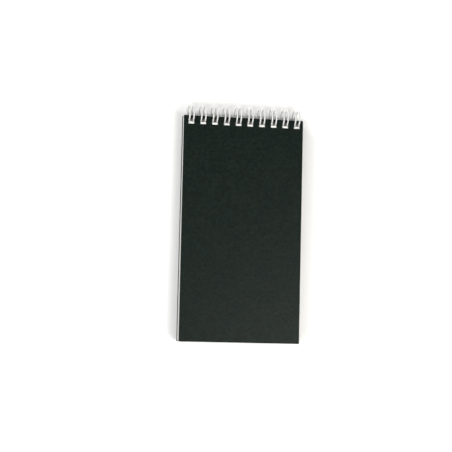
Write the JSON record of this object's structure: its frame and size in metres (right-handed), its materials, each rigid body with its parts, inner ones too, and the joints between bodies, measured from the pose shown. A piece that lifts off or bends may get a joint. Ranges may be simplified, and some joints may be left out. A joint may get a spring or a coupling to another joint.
{
  "type": "pocket notebook",
  "caption": "Slim pocket notebook with plain black card covers and loose white leaves, all bound along the top short edge by a white twin-loop wire.",
  "frame": {"origin": "under the middle of the whole notebook, at the height of the wire's lowest point", "axes": "+X across the covers to the right, +Y along them to the bound edge at the top, +Z out of the front cover"},
  "size_m": [0.086, 0.1652, 0.0122],
  "materials": {
    "cover_card": "dense card, black with a slight green cast, matte, with a fine fibre mottle",
    "page_paper": "uncoated white writing paper",
    "coated_wire": "steel wire with a smooth satin white coating"
  },
  "bodies": {
    "front_cover": {"front_cover": "cover_card"},
    "leaf_01": {"leaf_01": "page_paper"},
    "leaf_02": {"leaf_02": "page_paper"},
    "leaf_03": {"leaf_03": "page_paper"},
    "leaf_04": {"leaf_04": "page_paper"},
    "leaf_05": {"leaf_05": "page_paper"},
    "leaf_06": {"leaf_06": "page_paper"},
    "leaf_07": {"leaf_07": "page_paper"},
    "leaf_08": {"leaf_08": "page_paper"},
    "leaf_09": {"leaf_09": "page_paper"},
    "leaf_10": {"leaf_10": "page_paper"},
    "leaf_11": {"leaf_11": "page_paper"},
    "leaf_12": {"leaf_12": "page_paper"},
    "leaf_13": {"leaf_13": "page_paper"},
    "leaf_14": {"leaf_14": "page_paper"},
    "leaf_15": {"leaf_15": "page_paper"},
    "leaf_16": {"leaf_16": "page_paper"},
    "leaf_17": {"leaf_17": "page_paper"},
    "leaf_18": {"leaf_18": "page_paper"},
    "leaf_19": {"leaf_19": "page_paper"},
    "leaf_20": {"leaf_20": "page_paper"},
    "leaf_21": {"leaf_21": "page_paper"},
    "leaf_22": {"leaf_22": "page_paper"},
    "leaf_23": {"leaf_23": "page_paper"},
    "leaf_24": {"leaf_24": "page_paper"},
    "leaf_25": {"leaf_25": "page_paper"},
    "leaf_26": {"leaf_26": "page_paper"},
    "leaf_27": {"leaf_27": "page_paper"},
    "leaf_28": {"leaf_28": "page_paper"},
    "leaf_29": {"leaf_29": "page_paper"},
    "leaf_30": {"leaf_30": "page_paper"},
    "leaf_31": {"leaf_31": "page_paper"},
    "leaf_32": {"leaf_32": "page_paper"},
    "leaf_33": {"leaf_33": "page_paper"},
    "leaf_34": {"leaf_34": "page_paper"},
    "leaf_35": {"leaf_35": "page_paper"},
    "leaf_36": {"leaf_36": "page_paper"},
    "leaf_37": {"leaf_37": "page_paper"},
    "leaf_38": {"leaf_38": "page_paper"},
    "leaf_39": {"leaf_39": "page_paper"},
    "leaf_40": {"leaf_40": "page_paper"},
    "leaf_41": {"leaf_41": "page_paper"},
    "leaf_42": {"leaf_42": "page_paper"},
    "leaf_43": {"leaf_43": "page_paper"},
    "leaf_44": {"leaf_44": "page_paper"},
    "leaf_45": {"leaf_45": "page_paper"},
    "leaf_46": {"leaf_46": "page_paper"},
    "leaf_47": {"leaf_47": "page_paper"},
    "leaf_48": {"leaf_48": "page_paper"},
    "leaf_49": {"leaf_49": "page_paper"},
    "leaf_50": {"leaf_50": "page_paper"},
    "back_cover": {"back_cover": "cover_card"},
    "wire_binding": {"wire_binding": "coated_wire"}
  },
  "joints": [
    {"name": "front_cover_turn", "type": "hinge", "parent": "leaf_01", "child": "front_cover", "pos_m": [0, 0.07665, 0.00616], "axis": [-1, 0, 0], "range_deg": [0, 210]},
    {"name": "leaf_01_turn", "type": "hinge", "parent": "leaf_02", "child": "leaf_01", "pos_m": [0, 0.07665, 0.00616], "axis": [-1, 0, 0], "range_deg": [0, 180]},
    {"name": "leaf_25_turn", "type": "hinge", "parent": "leaf_26", "child": "leaf_25", "pos_m": [0, 0.07665, 0.00616], "axis": [-1, 0, 0], "range_deg": [0, 180]},
    {"name": "leaf_50_turn", "type": "hinge", "parent": "back_cover", "child": "leaf_50", "pos_m": [0, 0.07665, 0.00616], "axis": [-1, 0, 0], "range_deg": [0, 180]},
    {"name": "wire_turn", "type": "hinge", "parent": "back_cover", "child": "wire_binding", "pos_m": [0, 0.07665, 0.00616], "axis": [-1, 0, 0], "range_deg": [-15, 15]},
    {"name": "leaf_02_turn", "type": "hinge", "parent": "leaf_03", "child": "leaf_02", "pos_m": [0, 0.07665, 0.00616], "axis": [-1, 0, 0], "range_deg": [0, 180]},
    {"name": "leaf_03_turn", "type": "hinge", "parent": "leaf_04", "child": "leaf_03", "pos_m": [0, 0.07665, 0.00616], "axis": [-1, 0, 0], "range_deg": [0, 180]},
    {"name": "leaf_04_turn", "type": "hinge", "parent": "leaf_05", "child": "leaf_04", "pos_m": [0, 0.07665, 0.00616], "axis": [-1, 0, 0], "range_deg": [0, 180]},
    {"name": "leaf_05_turn", "type": "hinge", "parent": "leaf_06", "child": "leaf_05", "pos_m": [0, 0.07665, 0.00616], "axis": [-1, 0, 0], "range_deg": [0, 180]},
    {"name": "leaf_06_turn", "type": "hinge", "parent": "leaf_07", "child": "leaf_06", "pos_m": [0, 0.07665, 0.00616], "axis": [-1, 0, 0], "range_deg": [0, 180]},
    {"name": "leaf_07_turn", "type": "hinge", "parent": "leaf_08", "child": "leaf_07", "pos_m": [0, 0.07665, 0.00616], "axis": [-1, 0, 0], "range_deg": [0, 180]},
    {"name": "leaf_08_turn", "type": "hinge", "parent": "leaf_09", "child": "leaf_08", "pos_m": [0, 0.07665, 0.00616], "axis": [-1, 0, 0], "range_deg": [0, 180]},
    {"name": "leaf_09_turn", "type": "hinge", "parent": "leaf_10", "child": "leaf_09", "pos_m": [0, 0.07665, 0.00616], "axis": [-1, 0, 0], "range_deg": [0, 180]},
    {"name": "leaf_10_turn", "type": "hinge", "parent": "leaf_11", "child": "leaf_10", "pos_m": [0, 0.07665, 0.00616], "axis": [-1, 0, 0], "range_deg": [0, 180]},
    {"name": "leaf_11_turn", "type": "hinge", "parent": "leaf_12", "child": "leaf_11", "pos_m": [0, 0.07665, 0.00616], "axis": [-1, 0, 0], "range_deg": [0, 180]},
    {"name": "leaf_12_turn", "type": "hinge", "parent": "leaf_13", "child": "leaf_12", "pos_m": [0, 0.07665, 0.00616], "axis": [-1, 0, 0], "range_deg": [0, 180]},
    {"name": "leaf_13_turn", "type": "hinge", "parent": "leaf_14", "child": "leaf_13", "pos_m": [0, 0.07665, 0.00616], "axis": [-1, 0, 0], "range_deg": [0, 180]},
    {"name": "leaf_14_turn", "type": "hinge", "parent": "leaf_15", "child": "leaf_14", "pos_m": [0, 0.07665, 0.00616], "axis": [-1, 0, 0], "range_deg": [0, 180]},
    {"name": "leaf_15_turn", "type": "hinge", "parent": "leaf_16", "child": "leaf_15", "pos_m": [0, 0.07665, 0.00616], "axis": [-1, 0, 0], "range_deg": [0, 180]},
    {"name": "leaf_16_turn", "type": "hinge", "parent": "leaf_17", "child": "leaf_16", "pos_m": [0, 0.07665, 0.00616], "axis": [-1, 0, 0], "range_deg": [0, 180]},
    {"name": "leaf_17_turn", "type": "hinge", "parent": "leaf_18", "child": "leaf_17", "pos_m": [0, 0.07665, 0.00616], "axis": [-1, 0, 0], "range_deg": [0, 180]},
    {"name": "leaf_18_turn", "type": "hinge", "parent": "leaf_19", "child": "leaf_18", "pos_m": [0, 0.07665, 0.00616], "axis": [-1, 0, 0], "range_deg": [0, 180]},
    {"name": "leaf_19_turn", "type": "hinge", "parent": "leaf_20", "child": "leaf_19", "pos_m": [0, 0.07665, 0.00616], "axis": [-1, 0, 0], "range_deg": [0, 180]},
    {"name": "leaf_20_turn", "type": "hinge", "parent": "leaf_21", "child": "leaf_20", "pos_m": [0, 0.07665, 0.00616], "axis": [-1, 0, 0], "range_deg": [0, 180]},
    {"name": "leaf_21_turn", "type": "hinge", "parent": "leaf_22", "child": "leaf_21", "pos_m": [0, 0.07665, 0.00616], "axis": [-1, 0, 0], "range_deg": [0, 180]},
    {"name": "leaf_22_turn", "type": "hinge", "parent": "leaf_23", "child": "leaf_22", "pos_m": [0, 0.07665, 0.00616], "axis": [-1, 0, 0], "range_deg": [0, 180]},
    {"name": "leaf_23_turn", "type": "hinge", "parent": "leaf_24", "child": "leaf_23", "pos_m": [0, 0.07665, 0.00616], "axis": [-1, 0, 0], "range_deg": [0, 180]},
    {"name": "leaf_24_turn", "type": "hinge", "parent": "leaf_25", "child": "leaf_24", "pos_m": [0, 0.07665, 0.00616], "axis": [-1, 0, 0], "range_deg": [0, 180]},
    {"name": "leaf_26_turn", "type": "hinge", "parent": "leaf_27", "child": "leaf_26", "pos_m": [0, 0.07665, 0.00616], "axis": [-1, 0, 0], "range_deg": [0, 180]},
    {"name": "leaf_27_turn", "type": "hinge", "parent": "leaf_28", "child": "leaf_27", "pos_m": [0, 0.07665, 0.00616], "axis": [-1, 0, 0], "range_deg": [0, 180]},
    {"name": "leaf_28_turn", "type": "hinge", "parent": "leaf_29", "child": "leaf_28", "pos_m": [0, 0.07665, 0.00616], "axis": [-1, 0, 0], "range_deg": [0, 180]},
    {"name": "leaf_29_turn", "type": "hinge", "parent": "leaf_30", "child": "leaf_29", "pos_m": [0, 0.07665, 0.00616], "axis": [-1, 0, 0], "range_deg": [0, 180]},
    {"name": "leaf_30_turn", "type": "hinge", "parent": "leaf_31", "child": "leaf_30", "pos_m": [0, 0.07665, 0.00616], "axis": [-1, 0, 0], "range_deg": [0, 180]},
    {"name": "leaf_31_turn", "type": "hinge", "parent": "leaf_32", "child": "leaf_31", "pos_m": [0, 0.07665, 0.00616], "axis": [-1, 0, 0], "range_deg": [0, 180]},
    {"name": "leaf_32_turn", "type": "hinge", "parent": "leaf_33", "child": "leaf_32", "pos_m": [0, 0.07665, 0.00616], "axis": [-1, 0, 0], "range_deg": [0, 180]},
    {"name": "leaf_33_turn", "type": "hinge", "parent": "leaf_34", "child": "leaf_33", "pos_m": [0, 0.07665, 0.00616], "axis": [-1, 0, 0], "range_deg": [0, 180]},
    {"name": "leaf_34_turn", "type": "hinge", "parent": "leaf_35", "child": "leaf_34", "pos_m": [0, 0.07665, 0.00616], "axis": [-1, 0, 0], "range_deg": [0, 180]},
    {"name": "leaf_35_turn", "type": "hinge", "parent": "leaf_36", "child": "leaf_35", "pos_m": [0, 0.07665, 0.00616], "axis": [-1, 0, 0], "range_deg": [0, 180]},
    {"name": "leaf_36_turn", "type": "hinge", "parent": "leaf_37", "child": "leaf_36", "pos_m": [0, 0.07665, 0.00616], "axis": [-1, 0, 0], "range_deg": [0, 180]},
    {"name": "leaf_37_turn", "type": "hinge", "parent": "leaf_38", "child": "leaf_37", "pos_m": [0, 0.07665, 0.00616], "axis": [-1, 0, 0], "range_deg": [0, 180]},
    {"name": "leaf_38_turn", "type": "hinge", "parent": "leaf_39", "child": "leaf_38", "pos_m": [0, 0.07665, 0.00616], "axis": [-1, 0, 0], "range_deg": [0, 180]},
    {"name": "leaf_39_turn", "type": "hinge", "parent": "leaf_40", "child": "leaf_39", "pos_m": [0, 0.07665, 0.00616], "axis": [-1, 0, 0], "range_deg": [0, 180]},
    {"name": "leaf_40_turn", "type": "hinge", "parent": "leaf_41", "child": "leaf_40", "pos_m": [0, 0.07665, 0.00616], "axis": [-1, 0, 0], "range_deg": [0, 180]},
    {"name": "leaf_41_turn", "type": "hinge", "parent": "leaf_42", "child": "leaf_41", "pos_m": [0, 0.07665, 0.00616], "axis": [-1, 0, 0], "range_deg": [0, 180]},
    {"name": "leaf_42_turn", "type": "hinge", "parent": "leaf_43", "child": "leaf_42", "pos_m": [0, 0.07665, 0.00616], "axis": [-1, 0, 0], "range_deg": [0, 180]},
    {"name": "leaf_43_turn", "type": "hinge", "parent": "leaf_44", "child": "leaf_43", "pos_m": [0, 0.07665, 0.00616], "axis": [-1, 0, 0], "range_deg": [0, 180]},
    {"name": "leaf_44_turn", "type": "hinge", "parent": "leaf_45", "child": "leaf_44", "pos_m": [0, 0.07665, 0.00616], "axis": [-1, 0, 0], "range_deg": [0, 180]},
    {"name": "leaf_45_turn", "type": "hinge", "parent": "leaf_46", "child": "leaf_45", "pos_m": [0, 0.07665, 0.00616], "axis": [-1, 0, 0], "range_deg": [0, 180]},
    {"name": "leaf_46_turn", "type": "hinge", "parent": "leaf_47", "child": "leaf_46", "pos_m": [0, 0.07665, 0.00616], "axis": [-1, 0, 0], "range_deg": [0, 180]},
    {"name": "leaf_47_turn", "type": "hinge", "parent": "leaf_48", "child": "leaf_47", "pos_m": [0, 0.07665, 0.00616], "axis": [-1, 0, 0], "range_deg": [0, 180]},
    {"name": "leaf_48_turn", "type": "hinge", "parent": "leaf_49", "child": "leaf_48", "pos_m": [0, 0.07665, 0.00616], "axis": [-1, 0, 0], "range_deg": [0, 180]},
    {"name": "leaf_49_turn", "type": "hinge", "parent": "leaf_50", "child": "leaf_49", "pos_m": [0, 0.07665, 0.00616], "axis": [-1, 0, 0], "range_deg": [0, 180]}
  ]
}
